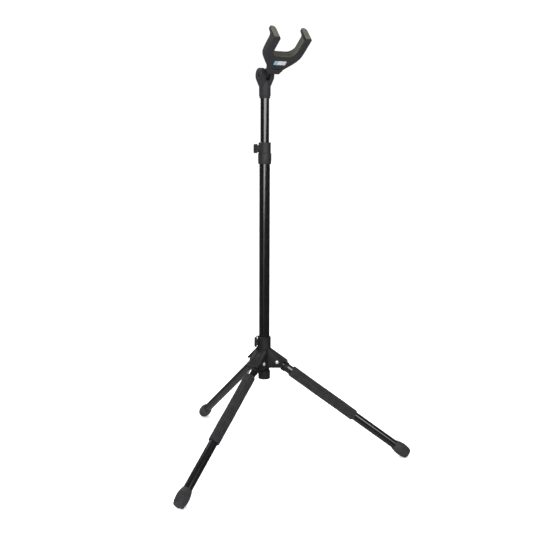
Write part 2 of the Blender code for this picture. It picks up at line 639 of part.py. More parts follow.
def make_yoke():
    """Yoke frame: local X across, Y along the arms, Z across their thickness, pivot at the origin."""
    yoke = make_frame("yoke_pivot", stand, (0, 0, TILT_Z), (TILT_REST, 0, math.pi))
    beyond = ARM_END + 20 * MM
    half = [(12.5, 30), (14, 36), (17, 43), (24.5, 52), (33.5, 62)]
    half += [(40.5, 72), (44.5, 81), (46, 90), (46.7, 104)]
    right = [(x * MM, y * MM) for x, y in half] + [(ARM_OUT, beyond)]
    left = [(-x, y) for x, y in reversed(right)]
    plan = right + notch_path(NOTCH_HALF, NOTCH_BASE, NOTCH_CORNER, beyond) + left
    frame = plate("yoke_frame", plan, -40 * MM, 40 * MM, yoke, GREY_PLASTIC)

    end_low = ARM_END
    end_high = ARM_END - (TIP_TOP - ARM_UNDER) * math.tan(TIP_LEAN)
    inner_low = ARM_END - TIP_THICK - 1 * MM
    fillet = 7 * MM
    side_line = [
        (29 * MM, ARM_UNDER + 1 * MM),
        (33 * MM, ARM_UNDER - 1.2 * MM),
        (43 * MM, ARM_UNDER - 1.2 * MM),
        (44 * MM, ARM_UNDER),
        (end_low - 1 * MM, ARM_UNDER),
        (end_low, ARM_UNDER + 1 * MM),
        (end_high, TIP_TOP + 1 * MM),
        (end_high - TIP_THICK + 1 * MM, TIP_TOP + 1 * MM),
    ]
    side_line += arc((inner_low - fillet, ARM_TOP + fillet), fillet, 0, -90, 5)
    side_line += [(60 * MM, ARM_TOP), (40 * MM, ARM_TOP + 1 * MM), (29 * MM, -7 * MM)]
    across = (math.pi / 2, 0, math.pi / 2)
    side = plate("yoke_side", side_line, -70 * MM, 70 * MM, yoke, turn=across)

    finger = (ARM_OUT - NOTCH_HALF) / 2
    middle = NOTCH_HALF + finger
    face_line = [(-ARM_OUT - 5 * MM, -40 * MM), (ARM_OUT + 5 * MM, -40 * MM), (ARM_OUT + 5 * MM, -2 * MM)]
    face_line += arc((middle, TIP_TOP - finger), finger + 0.05 * MM, 0, 180, 8)
    face_line += [(NOTCH_HALF - 5 * MM, 2 * MM), (5 * MM - NOTCH_HALF, 2 * MM)]
    face_line += arc((-middle, TIP_TOP - finger), finger + 0.05 * MM, 0, 180, 8)
    face_line += [(-ARM_OUT - 5 * MM, -2 * MM)]
    face = plate("yoke_face", face_line, 0, 200 * MM, yoke, place=(0, 200 * MM, 0), turn=SIDE_ON)

    tongue_line = arc((0, 0), 9 * MM, 90, 270, 8)
    tongue_line += [(14 * MM, -9 * MM), (31 * MM, -22 * MM), (42 * MM, -22 * MM), (42 * MM, -8 * MM)]
    tongue_line += [(30 * MM, -4 * MM), (14 * MM, 7 * MM)]
    tongue = plate("yoke_tongue", tongue_line, -TONGUE_HALF, TONGUE_HALF, yoke, turn=across)
    bolt_hole = rod("yoke_bolt_hole", BOLT_R + GAP, -20 * MM, 20 * MM, yoke, turn=ALONG_X)

    groove_floor = ARM_UNDER + 1.8 * MM
    groove_line = [(44 * MM, -30 * MM), (46 * MM, -30 * MM), (46 * MM, groove_floor), (44 * MM, groove_floor)]
    groove = plate("yoke_groove", groove_line, -12 * MM, 12 * MM, yoke, turn=across)
    combine(frame, side, "INTERSECT")
    combine(frame, face, "INTERSECT")
    join(frame, tongue)
    cut(frame, bolt_hole, groove)

    make_tip_pads(yoke, frame, middle, finger)
    make_lining(yoke)
    make_label(yoke)


def make_tip_pads(yoke, frame, middle, finger):
    """Rubber pad in a shallow recess on each arm's end face, leaving a dark rim round it."""
    low = ARM_UNDER + 3 * MM
    high = TIP_TOP - 2 * MM
    centre_z = (low + high) / 2
    centre_y = ARM_END - (centre_z - ARM_UNDER) * math.tan(TIP_LEAN)
    reach = (high - low) / 2
    lean = (math.pi / 2 + TIP_LEAN, 0, math.pi)
    for side, sign in (("right", -1), ("left", 1)):
        place = (sign * middle, centre_y, centre_z)
        shapes = []
        for width in (finger - 1.6 * MM, finger - 1.6 * MM - GAP):
            corner = 2.5 * MM
            margin = finger - 1.6 * MM - width
            bottom = margin - reach
            outline = arc((0, reach - margin - width), width, 0, 180, 8)
            outline += arc((corner - width, bottom + corner), corner, 180, 270, 3)
            outline += arc((width - corner, bottom + corner), corner, 270, 360, 3)
            shapes.append(outline)
        recess = plate("tip_recess_" + side, shapes[0], -PAD_RECESS, 20 * MM, yoke, place=place, turn=lean)
        cut(frame, recess)
        plate("tip_pad_" + side, shapes[1], GAP - PAD_RECESS, PAD_PROUD, yoke, OLIVE_RUBBER, place, lean)


def make_lining(yoke):
    """Rubber strip that lines the notch."""
    end = ARM_END - 4 * MM
    outer = notch_path(NOTCH_HALF - GAP, NOTCH_BASE + GAP, NOTCH_CORNER - GAP, end)
    inner = notch_path(NOTCH_HALF - LINING, NOTCH_BASE + LINING, NOTCH_CORNER - LINING, end)
    outline = outer + list(reversed(inner))
    plate("notch_lining", outline, ARM_UNDER + 1 * MM, ARM_TOP - 1 * MM, yoke, OLIVE_RUBBER)


def make_label(yoke):
    """Plain label on the underside of the yoke, between the lip and the notch."""
    half_x = 14.7 * MM
    half_y = 5.8 * MM
    corner = 1.5 * MM
    outline = []
    for sign_x, sign_y, start in ((1, 1, 0), (-1, 1, 90), (-1, -1, 180), (1, -1, 270)):
        centre = (sign_x * (half_x - corner), sign_y * (half_y - corner))
        outline += arc(centre, corner, start, start + 90, 3)
    plate("label_plate", outline, ARM_UNDER - GAP - 0.7 * MM, ARM_UNDER - GAP, yoke, LABEL, (0, 66 * MM, 0))


make_yoke()
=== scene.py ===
"""Looks of the saxophone stand: materials, moulded edges, foam grips, ribbed feet, lining and pads."""

import json
import math

import bmesh
import bpy
import numpy as np
from mathutils import Matrix, Vector


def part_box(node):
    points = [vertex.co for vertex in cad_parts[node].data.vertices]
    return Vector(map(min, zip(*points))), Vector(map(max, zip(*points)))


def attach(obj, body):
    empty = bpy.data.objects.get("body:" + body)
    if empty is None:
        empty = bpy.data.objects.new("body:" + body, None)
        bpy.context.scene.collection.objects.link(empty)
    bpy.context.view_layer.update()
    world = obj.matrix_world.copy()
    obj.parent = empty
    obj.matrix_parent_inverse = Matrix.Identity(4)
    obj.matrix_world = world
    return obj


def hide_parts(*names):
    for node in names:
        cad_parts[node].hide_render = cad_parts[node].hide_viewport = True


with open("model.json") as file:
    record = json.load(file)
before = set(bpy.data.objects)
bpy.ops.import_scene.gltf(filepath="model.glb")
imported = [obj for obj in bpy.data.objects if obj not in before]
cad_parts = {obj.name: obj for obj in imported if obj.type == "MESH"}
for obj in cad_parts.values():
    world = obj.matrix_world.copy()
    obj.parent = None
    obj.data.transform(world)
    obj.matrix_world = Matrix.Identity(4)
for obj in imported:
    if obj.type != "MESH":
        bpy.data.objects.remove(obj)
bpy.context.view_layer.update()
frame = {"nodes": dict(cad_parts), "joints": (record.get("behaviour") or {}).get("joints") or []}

MM = 0.001
NODES = frame["nodes"]
JOINTS = {joint["name"]: joint for joint in frame["joints"]}
SIDES = ("right", "left", "rear")

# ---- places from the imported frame, and sizes that the new pieces share with the CAD ------------

COLUMN = Vector(JOINTS["tube_swivel"]["pos_m"])
TILT_PIVOT = Vector(JOINTS["yoke_tilt"]["pos_m"])
LEG_DROP = math.radians(36.0)           # open legs, below the horizontal
ARM_RISE = math.radians(38.5)           # yoke arms, above the horizontal

GAP = 0.3 * MM                          # between pieces that touch
LEG_LENGTH = 392.0 * MM                 # from the leg's pivot to the foot's end
LEG_R = 10.3 * MM
FOAM_R = 13.5 * MM
FOAM_START = 42.0 * MM                  # from the leg's pivot
FOAM_END = 230.0 * MM
FOOT_LENGTH = 41.0 * MM
FOOT_SOCKET = 30.0 * MM                 # how far the leg tube goes into the foot

NOTCH_HALF = 31.4 * MM
NOTCH_BASE = 82.3 * MM
NOTCH_CORNER = 20.0 * MM
LINING = 3.0 * MM
ARM_OUT = 46.8 * MM
ARM_END = 138.0 * MM
ARM_UNDER = -24.5 * MM
ARM_TOP = -6.5 * MM
TIP_TOP = 12.5 * MM
TIP_LEAN = math.radians(2.0)
PAD_PROUD = 1.4 * MM
PAD_RECESS = 1.2 * MM

# ---- finer shape of the new pieces -------------------------------------------------------------

FOAM_STATIONS = 120
FOAM_FLUTES = 14
FOAM_SIDES = FOAM_FLUTES * 12
FOAM_EDGE = 2.2 * MM
FOAM_INSET = 0.2 * MM
FOAM_WALL = 0.4 * MM                    # thinnest the foam may get
FLUTE_DEPTH = 1.3 * MM
FOOT_ROWS = 84
FOOT_SIDES = 72
FOOT_RIBS_START = 0.30                  # share of the foot's length
FOOT_RIBS_END = 0.93
FOOT_RIB_PITCH = 0.126
FOOT_RIB_DEPTH = 1.7 * MM
END_ROUNDING = 1.3 * MM
LINING_SECTION = 16                     # points across the lining's face
LINING_CHANNEL = 0.55 * MM
LINING_LIP = 0.5 * MM
LINING_EDGE = 1.0 * MM
PAD_SIDES = 56
PAD_CORNER = 2.5 * MM
PAD_MARGIN = 1.6 * MM
LABEL_BLUE_SHARE = 0.30


def leg_matrix(side):
    """Local X along the open leg from its pivot, local Y along the pivot, local Z up and out."""
    joint = JOINTS["leg_fold_" + side]
    pivot_line = Vector(joint["axis"]).normalized()
    outward = Vector((pivot_line.y, -pivot_line.x, 0.0))
    along = outward * math.cos(LEG_DROP) + Vector((0, 0, -math.sin(LEG_DROP)))
    up = along.cross(pivot_line)
    turned = Matrix((along, pivot_line, up)).transposed().to_4x4()
    return Matrix.Translation(Vector(joint["pos_m"])) @ turned


def yoke_matrix():
    """Local X across the yoke, local Y along its arms and local Z across their thickness."""
    across = Vector((-1, 0, 0))
    along = Vector((0, -math.cos(ARM_RISE), math.sin(ARM_RISE)))
    thick = across.cross(along)
    turned = Matrix((across, along, thick)).transposed().to_4x4()
    return Matrix.Translation(TILT_PIVOT) @ turned


# ---- materials -------------------------------------------------------------------------------


class Look:
    """A procedural material: Principled shader fed by noise in the object's own coordinates."""

    def __init__(self, name, metallic=0.0, coat=0.0, coat_roughness=0.1, sheen=0.0, specular=0.5):
        self.material = bpy.data.materials.new(name)
        self.material.use_nodes = True
        self.tree = self.material.node_tree
        self.shader = self.tree.nodes["Principled BSDF"]
        self.shader.inputs["Metallic"].default_value = metallic
        self.shader.inputs["Coat Weight"].default_value = coat
        self.shader.inputs["Coat Roughness"].default_value = coat_roughness
        self.shader.inputs["Sheen Weight"].default_value = sheen
        self.shader.inputs["Specular IOR Level"].default_value = specular
        self.place = self.tree.nodes.new("ShaderNodeTexCoord").outputs["Object"]
        self.bump = None

    def node(self, kind, **values):
        made = self.tree.nodes.new(kind)
        for key, value in values.items():
            if hasattr(made, key):
                setattr(made, key, value)
            else:
                made.inputs[key.replace("_", " ")].default_value = value
        return made

    def stretched(self, scale):
        mapping = self.node("ShaderNodeMapping")
        mapping.inputs["Scale"].default_value = scale
        self.tree.links.new(self.place, mapping.inputs["Vector"])
        return mapping.outputs["Vector"]

    def noise(self, scale, detail=4.0, roughness=0.55, stretch=None):
        made = self.node("ShaderNodeTexNoise", Scale=scale, Detail=detail, Roughness=roughness)
        source = self.stretched(stretch) if stretch else self.place
        self.tree.links.new(source, made.inputs["Vector"])
        return made.outputs["Fac"]

    def cells(self, scale):
        made = self.node("ShaderNodeTexVoronoi", Scale=scale)
        self.tree.links.new(self.place, made.inputs["Vector"])
        return made.outputs["Distance"]

    def spread(self, value, low, high, start=0.35, stop=0.65):
        made = self.node("ShaderNodeMapRange")
        for socket, number in (("From Min", start), ("From Max", stop), ("To Min", low), ("To Max", high)):
            made.inputs[socket].default_value = number
        self.tree.links.new(value, made.inputs["Value"])
        return made.outputs["Result"]

    def colour(self, value, dark, light, start=0.35, stop=0.65):
        ramp = self.node("ShaderNodeValToRGB")
        ramp.color_ramp.elements[0].position = start
        ramp.color_ramp.elements[0].color = (*dark, 1)
        ramp.color_ramp.elements[1].position = stop
        ramp.color_ramp.elements[1].color = (*light, 1)
        self.tree.links.new(value, ramp.inputs["Fac"])
        return ramp.outputs["Color"]

    def blended(self, amount, first, second):
        """Second colour laid over the first where the amount is high."""
        mix = self.node("ShaderNodeMix", data_type="RGBA")
        self.tree.links.new(amount, mix.inputs["Factor"])
        self.tree.links.new(first, mix.inputs["A"])
        self.tree.links.new(second, mix.inputs["B"])
        return mix.outputs["Result"]

    def base(self, output):
        self.tree.links.new(output, self.shader.inputs["Base Color"])

    def rough(self, output):
        self.tree.links.new(output, self.shader.inputs["Roughness"])

    def raise_by(self, height, distance, strength=1.0):
        """Adds one layer of relief over those already there. The distance is the relief's depth."""
        bump = self.node("ShaderNodeBump", Strength=strength, Distance=distance)
        self.tree.links.new(height, bump.inputs["Height"])
        if self.bump:
            self.tree.links.new(self.bump, bump.inputs["Normal"])
        self.bump = bump.outputs["Normal"]
        self.tree.links.new(self.bump, self.shader.inputs["Normal"])


def enamel():
    """Gloss black paint on steel tube: orange peel, faint hairlines and dust."""
    look = Look("black_enamel_paint", coat=1.0, coat_roughness=0.14, specular=0.7)
    broad = look.noise(30.0)
    hairlines = look.noise(1.0, 3.0, 0.6, stretch=(2600, 2600, 40))
    look.base(look.colour(broad, (0.0022, 0.0022, 0.0026), (0.0040, 0.0040, 0.0046)))
    look.rough(look.spread(hairlines, 0.13, 0.20))
    look.raise_by(look.noise(420.0, 2.0), 0.012 * MM, 0.3)
    return look.material


def textured_plastic(name, dark, light, low, high, grain=1900.0, depth=0.07):
    """Moulded plastic with a spark-eroded grain, scuffed a little lighter in places."""
    look = Look(name, specular=0.3)
    fine = look.noise(grain, 3.0, 0.6)
    scuff = look.noise(120.0, 5.0, 0.65)
    even = look.colour(fine, dark, light)
    worn = look.colour(fine, light, tuple(1.35 * value for value in light))
    look.base(look.blended(look.spread(scuff, 0.0, 0.55, 0.55, 0.72), even, worn))
    look.rough(look.spread(scuff, low, high))
    look.raise_by(fine, depth * MM, 0.8)
    look.raise_by(look.cells(grain * 0.55), 0.5 * depth * MM, 0.5)
    return look.material


def foam_skin():
    """Dense closed-cell foam: tiny open cells under a rubbed, slightly paler skin."""
    look = Look("foam_cells", sheen=0.06, specular=0.2)
    cells = look.cells(1500.0)
    patches = look.noise(90.0, 4.0)
    body = look.colour(cells, (0.0055, 0.0055, 0.0060), (0.0150, 0.0150, 0.0162), 0.1, 0.6)
    rubbed = look.colour(cells, (0.0150, 0.0152, 0.0155), (0.0270, 0.0273, 0.0276), 0.1, 0.6)
    look.base(look.blended(look.spread(patches, 0.0, 0.7, 0.4, 0.68), body, rubbed))
    look.rough(look.spread(patches, 0.68, 0.9))
    look.raise_by(cells, 0.22 * MM, 0.9)
    look.raise_by(look.noise(420.0, 3.0), 0.10 * MM, 0.6)
    return look.material


def rubber_skin(name, dark, light, low=0.55, high=0.78, grain=1300.0, depth=0.08):
    """Moulded rubber: a soft grain, dusted paler in patches."""
    look = Look(name, sheen=0.04, specular=0.3)
    fine = look.noise(grain, 4.0, 0.62)
    dust = look.noise(75.0, 5.0, 0.6)
    body = look.colour(fine, dark, light)
    dusty = look.colour(fine, light, tuple(min(1.0, 1.3 * value) for value in light))
    look.base(look.blended(look.spread(dust, 0.0, 0.6, 0.45, 0.7), body, dusty))
    look.rough(look.spread(dust, low, high))
    look.raise_by(fine, depth * MM, 0.75)
    return look.material


def bright_metal(name, dark, light, low, high, metallic=1.0):
    """Plated metal with fine tool marks and a little tarnish."""
    look = Look(name, metallic=metallic)
    marks = look.noise(1500.0, 3.0, 0.6)
    tarnish = look.noise(260.0, 4.0)
    look.base(look.colour(tarnish, dark, light))
    look.rough(look.spread(marks, low, high))
    look.raise_by(marks, 0.02 * MM, 0.5)
    return look.material


def label_print():
    """Plain white printed film, with a pale blue block at one end."""
    look = Look("label_print", coat=0.4, coat_roughness=0.2)
    low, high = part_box("label_plate")
    split = look.node("ShaderNodeSeparateXYZ")
    look.tree.links.new(look.place, split.inputs["Vector"])
    edge = low.x + LABEL_BLUE_SHARE * (high.x - low.x)
    blue_part = look.spread(split.outputs["X"], 1.0, 0.0, edge - 0.3 * MM, edge + 0.3 * MM)
    grain = look.noise(800.0, 2.0)
    white = look.colour(grain, (0.28, 0.285, 0.29), (0.34, 0.345, 0.35))
    blue = look.colour(grain, (0.10, 0.20, 0.28), (0.12, 0.23, 0.31))
    look.base(look.blended(blue_part, white, blue))
    look.rough(look.spread(grain, 0.32, 0.45))
    look.raise_by(grain, 0.01 * MM, 0.4)
    return look.material


ENAMEL = enamel()
HUB_PLASTIC = textured_plastic("hub_plastic", (0.0046, 0.0046, 0.0051), (0.0088, 0.0088, 0.0097), 0.42, 0.6)
# The clutch body is the hub's plastic painted about twice as light: painted light from a lamp higher up, not
# a paler plastic.
CLUTCH_PLASTIC_PAINTED_LIGHT = textured_plastic("clutch_plastic_painted_light", (0.0105, 0.0105, 0.0114),
                                  (0.0175, 0.0175, 0.0190), 0.40, 0.55)
KNOB_PLASTIC = textured_plastic("knob_plastic", (0.0065, 0.0065, 0.0072),
                                (0.0115, 0.0115, 0.0125), 0.45, 0.62)
YOKE_PLASTIC = textured_plastic("yoke_plastic", (0.0120, 0.0120, 0.0138),
                                (0.0190, 0.0190, 0.0218), 0.46, 0.6, 1500.0)
FOAM = foam_skin()
FOOT_RUBBER = rubber_skin("foot_rubber", (0.0140, 0.0140, 0.0151), (0.0245, 0.0245, 0.0262))
LINING_RUBBER = rubber_skin("lining_rubber", (0.0250, 0.0245, 0.0185), (0.0400, 0.0392, 0.0290), 0.6, 0.8)
PAD_RUBBER = rubber_skin("pad_rubber", (0.058, 0.057, 0.045), (0.088, 0.086, 0.069), 0.6, 0.8, 1100.0, 0.12)
ZINC = bright_metal("bright_zinc", (0.62, 0.62, 0.63), (0.80, 0.80, 0.81), 0.22, 0.38, 0.7)
BRASS = bright_metal("shoe_brass", (0.46, 0.33, 0.13), (0.62, 0.46, 0.21), 0.25, 0.42)
NYLON = rubber_skin("guide_nylon", (0.42, 0.42, 0.40), (0.52, 0.52, 0.49), 0.5, 0.66, 700.0, 0.04)
LABEL = label_print()

# ---- CAD nodes that stay: smooth shading, moulded edges, materials --------------------------

WELD_REACH = 0.01 * MM                  # joins the corners of the imported facets
SLIVER_WIDTH = 0.001 * MM               # the rounding leaves faces thinner than this
FLAT_WITHIN = math.radians(0.6)
SHARP_EDGE = math.radians(38)           # on CAD nodes
PIECE_SHARP_EDGE = math.radians(45)     # on new pieces


def shading_group(name, weld):
    """Node group that welds the imported facets, or shades faces smooth up to sharp edges."""
    group = bpy.data.node_groups.new(name, "GeometryNodeTree")
    group.interface.new_socket("Geometry", in_out="INPUT", socket_type="NodeSocketGeometry")
    group.interface.new_socket("Geometry", in_out="OUTPUT", socket_type="NodeSocketGeometry")
    start = group.nodes.new("NodeGroupInput").outputs[0]
    end = group.nodes.new("NodeGroupOutput").inputs[0]
    if weld:
        merge = group.nodes.new("GeometryNodeMergeByDistance")
        merge.inputs["Distance"].default_value = WELD_REACH
        clear = group.nodes.new("GeometryNodeRemoveAttribute")
        clear.inputs["Name"].default_value = "custom_normal"
        group.links.new(start, clear.inputs["Geometry"])
        group.links.new(clear.outputs["Geometry"], merge.inputs["Geometry"])
        group.links.new(merge.outputs["Geometry"], end)
        return group
    faces = group.nodes.new("GeometryNodeSetShadeSmooth")
    faces.domain = "FACE"
    angle = group.nodes.new("GeometryNodeInputMeshEdgeAngle")
    sharp = group.nodes.new("FunctionNodeCompare")
    sharp.operation = "GREATER_THAN"
    sharp.inputs[1].default_value = SHARP_EDGE
    edges = group.nodes.new("GeometryNodeSetShadeSmooth")
    edges.domain = "EDGE"
    edges.inputs["Shade Smooth"].default_value = False
    group.links.new(start, faces.inputs["Geometry"])
    group.links.new(angle.outputs["Unsigned Angle"], sharp.inputs[0])
    group.links.new(sharp.outputs[0], edges.inputs["Selection"])
    group.links.new(faces.outputs["Geometry"], edges.inputs["Geometry"])
    group.links.new(edges.outputs["Geometry"], end)
    return group


WELD_FACETS = shading_group("weld_facets", True)
SMOOTH_FACES = shading_group("smooth_faces", False)


def dress(node, material, edge=0.0, segments=2, corner=32):
    """Gives a CAD node its material, and rounds its edges that turn by more than the corner's degrees."""
    piece = NODES[node]
    piece.data.materials.clear()
    piece.data.materials.append(material)
    piece.modifiers.new("weld", "NODES").node_group = WELD_FACETS
    if edge:
        flat = piece.modifiers.new("flat_faces", "DECIMATE")
        flat.decimate_type = "DISSOLVE"
        flat.angle_limit = FLAT_WITHIN
        bevel = piece.modifiers.new("moulded_edges", "BEVEL")
        bevel.width = edge
        bevel.segments = segments
        bevel.limit_method = "ANGLE"
        bevel.angle_limit = math.radians(corner)
        bevel.use_clamp_overlap = True
        bevel.miter_outer = "MITER_ARC"
        slivers = piece.modifiers.new("weld_slivers", "WELD")
        slivers.merge_threshold = SLIVER_WIDTH
    piece.modifiers.new("smooth", "NODES").node_group = SMOOTH_FACES


for side in SIDES:
    dress("leg_tube_" + side, ENAMEL)
    dress("leg_bush_" + side, NYLON, 0.3 * MM)
    dress("leg_collar_" + side, HUB_PLASTIC)
    dress("pivot_bolt_" + side, ZINC)
    dress("pivot_nut_" + side, ZINC)
dress("hub_casting", HUB_PLASTIC, 0.3 * MM, corner=55)
dress("lower_tube", ENAMEL)
dress("upper_tube", ENAMEL)
dress("end_cap", HUB_PLASTIC)
# Clutch body gets the copy of the hub's plastic with painted light in its colour.
dress("clutch_body", CLUTCH_PLASTIC_PAINTED_LIGHT, 0.3 * MM)
for name in ("hub_knob", "clutch_knob"):
    dress(name, KNOB_PLASTIC, 0.15 * MM)
for name in ("hub_shoe", "clutch_shoe"):
    dress(name, BRASS, 0.15 * MM)
dress("guide_plug", NYLON)
dress("head_fork", YOKE_PLASTIC, 0.5 * MM)
dress("head_screw", ZINC)
dress("tilt_bolt", KNOB_PLASTIC)
dress("tilt_nut", KNOB_PLASTIC)
dress("yoke_frame", YOKE_PLASTIC, 0.9 * MM, segments=3)
dress("label_plate", LABEL, 0.15 * MM)

# ---- new pieces ------------------------------------------------------------------------------


def finish_piece(name, mesh, matrix, material, body, slot, *nodes):
    """Places a new piece, attaches it to the body it rides on, and hides the CAD nodes it stands in for."""
    mesh.transform(matrix)
    mesh.materials.append(material)
    mesh.shade_smooth()
    mesh.set_sharp_from_angle(angle=PIECE_SHARP_EDGE)
    piece = bpy.data.objects.new(name, mesh)
    bpy.context.scene.collection.objects.link(piece)
    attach(piece, body)
    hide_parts(*nodes)
    return piece


def ring_mesh(name, rings, steps, closed):
    """Rings of points joined into a skin. Closed skins join the last ring to the first; the others
    end in a point at each end."""
    solid = bmesh.new()
    rows = []
    for ring in rings:
        if len(ring) == 1:
            rows.append([solid.verts.new(ring[0])] * steps)
        else:
            rows.append([solid.verts.new(point) for point in ring])
    pairs = list(zip(rows, rows[1:]))
    if closed:
        pairs.append((rows[-1], rows[0]))
    for low, high in pairs:
        for i in range(steps):
            corners = []
            for vertex in (low[i], low[i - steps + 1], high[i - steps + 1], high[i]):
                if vertex not in corners:
                    corners.append(vertex)
            if len(corners) > 2:
                solid.faces.new(corners)
    bmesh.ops.recalc_face_normals(solid, faces=solid.faces)
    mesh = bpy.data.meshes.new(name)
    solid.to_mesh(mesh)
    solid.free()
    return mesh


def round_ring(along, reach, steps):
    """Points round local X, at one place along it."""
    turns = [2 * math.pi * i / steps for i in range(steps)]
    return [(along, reach * math.cos(turn), reach * math.sin(turn)) for turn in turns]


def smooth_step(value):
    """Rises from 0 to 1 with level ends."""
    value = min(max(value, 0.0), 1.0)
    return value * value * (3 - 2 * value)


def rounded_end(inset, radius):
    """Share of the radius that a rounded end has lost, this far in from it."""
    return 1 - math.sqrt(max(0.0, 1 - (1 - min(inset / radius, 1.0)) ** 2))


def make_foam(side):
    """Foam sleeve with soft lengthwise flutes, rounded ends and a slightly uneven surface."""
    bore = LEG_R + GAP
    phase = {"right": 0.4, "left": 2.1}[side]
    rings = []
    for number in range(FOAM_STATIONS + 1):
        along = FOAM_START + (FOAM_END - FOAM_START) * number / FOAM_STATIONS
        inset = min(along - FOAM_START, FOAM_END - along)
        shoulder = FOAM_EDGE * rounded_end(inset, FOAM_EDGE)
        ring = []
        for i in range(FOAM_SIDES):
            angle = 2 * math.pi * i / FOAM_SIDES
            valley = 0.5 - 0.5 * math.cos(FOAM_FLUTES * angle)
            groove = FLUTE_DEPTH * smooth_step(1 - 2.2 * valley)
            wave = 0.10 * math.sin(3 * angle + 55 * along + phase) + 0.08 * math.sin(5 * angle - 130 * along)
            reach = FOAM_R - FOAM_INSET - groove - shoulder * 0.8 + wave * MM
            reach = max(reach, bore + FOAM_WALL)
            ring.append((along, reach * math.cos(angle), reach * math.sin(angle)))
        rings.append(ring)
    for along in (FOAM_END, FOAM_START):
        rings.append(round_ring(along, bore, FOAM_SIDES))
    mesh = ring_mesh("foam_sleeve_" + side, rings, FOAM_SIDES, True)
    piece = finish_piece("foam_sleeve_" + side, mesh, leg_matrix(side), FOAM, "leg_" + side, "foam",
                         "foam_grip_" + side)


def foot_radius(along):
    """Outer radius of a foot, this far from its mouth: a barrel, plain near the mouth and then ribbed."""
    key = [(0.0, 11.8), (0.10, 12.6), (0.27, 14.3), (0.40, 15.1), (0.52, 15.2), (0.66, 14.9), (0.76, 14.4)]
    key += [(0.90, 13.1), (1.0, 11.6)]
    share = along / FOOT_LENGTH
    reach = float(np.interp(share, [a for a, r in key], [r for a, r in key])) * MM
    if FOOT_RIBS_START < share < FOOT_RIBS_END:
        wave = 0.5 - 0.5 * math.cos(2 * math.pi * (share - FOOT_RIBS_START) / FOOT_RIB_PITCH)
        reach -= FOOT_RIB_DEPTH * smooth_step(2.2 * wave - 1.0)
    return reach


def make_foot(side):
    """Barrel-shaped rubber foot with ribs, standing flat on the floor."""
    matrix = leg_matrix(side)
    start = LEG_LENGTH - FOOT_LENGTH
    profile = []
    for number in range(FOOT_ROWS + 1):
        along = FOOT_LENGTH * number / FOOT_ROWS
        rounding = END_ROUNDING * rounded_end(min(along, FOOT_LENGTH - along), END_ROUNDING)
        profile.append((start + along, foot_radius(along) - rounding * 0.7))
    socket = LEG_R + GAP
    rings = [[(start + FOOT_SOCKET, 0, 0)]]
    for along, reach in [(start + FOOT_SOCKET, socket), (start + 0.4 * MM, socket)] + profile:
        rings.append(round_ring(along, reach, FOOT_SIDES))
    rings.append([(LEG_LENGTH - 0.2 * MM, 0, 0)])
    mesh = ring_mesh("rubber_foot_" + side, rings, FOOT_SIDES, False)
    for vertex in mesh.vertices:
        place = matrix @ vertex.co
        if place.z < 0:
            place.z = 0
            vertex.co = matrix.inverted() @ place
    finish_piece("rubber_foot_" + side, mesh, matrix, FOOT_RUBBER, "leg_" + side, "rubber", "foot_" + side)


for side in ("right", "left"):
    make_foam(side)
for side in SIDES:
    make_foot(side)

# ---- yoke lining and pads --------------------------------------------------------------------


def notch_points(inset, end, corner_steps=16, straight_steps=14, floor_steps=8):
    """U-shaped line, this far in from the bare notch, with the outward direction at each point."""
    half = NOTCH_HALF - inset
    base = NOTCH_BASE + inset
    corner = NOTCH_CORNER - inset
    line = []
    for i in range(straight_steps):
        y = end + (base + corner - end) * i / straight_steps
        line.append(((half, y), (1, 0)))
    for i in range(corner_steps + 1):
        angle = -math.pi / 2 * i / corner_steps
        out = (math.cos(angle), math.sin(angle))
        line.append(((half - corner + corner * out[0], base + corner + corner * out[1]), out))
    mirrored = [((-x, y), (-u, v)) for (x, y), (u, v) in reversed(line)]
    floor = [(half - corner) * (1 - 2 * i / floor_steps) for i in range(1, floor_steps)]
    return line + [((x, base), (0, -1)) for x in floor] + mirrored


def make_lining():
    """Rubber strip round the notch, with rounded lips and a shallow channel along its middle."""
    end = ARM_END - 4 * MM
    low = ARM_UNDER + 1 * MM
    high = ARM_TOP - 1 * MM
    middle = LINING / 2 + GAP / 2
    rings = []
    for (x, y), (u, v) in notch_points(middle, end):
        ring = []
        for i in range(LINING_SECTION):
            share = i / (LINING_SECTION - 1)
            z = low + (high - low) * share
            from_middle = abs(share - 0.5)
            lip = LINING_LIP * smooth_step((from_middle - 0.28) / 0.12)
            edge = LINING_EDGE * smooth_step((from_middle - 0.44) / 0.06)
            inward = middle - GAP - LINING_CHANNEL + lip - edge
            ring.append((x - inward * u, y - inward * v, z))
        ring.append((x + (middle - GAP) * u, y + (middle - GAP) * v, high))
        ring.append((x + (middle - GAP) * u, y + (middle - GAP) * v, low))
        rings.append(ring)
    steps = LINING_SECTION + 2
    solid = bmesh.new()
    rows = [[solid.verts.new(point) for point in ring] for ring in rings]
    for first, second in zip(rows, rows[1:]):
        for i in range(steps):
            solid.faces.new((first[i], first[(i + 1) % steps], second[(i + 1) % steps], second[i]))
    solid.faces.new(rows[0])
    solid.faces.new(rows[-1])
    bmesh.ops.recalc_face_normals(solid, faces=solid.faces)
    mesh = bpy.data.meshes.new("lining_strip")
    solid.to_mesh(mesh)
    solid.free()
    piece = finish_piece("lining_strip", mesh, yoke_matrix(), LINING_RUBBER, "yoke", "olive_rubber",
                         "notch_lining")


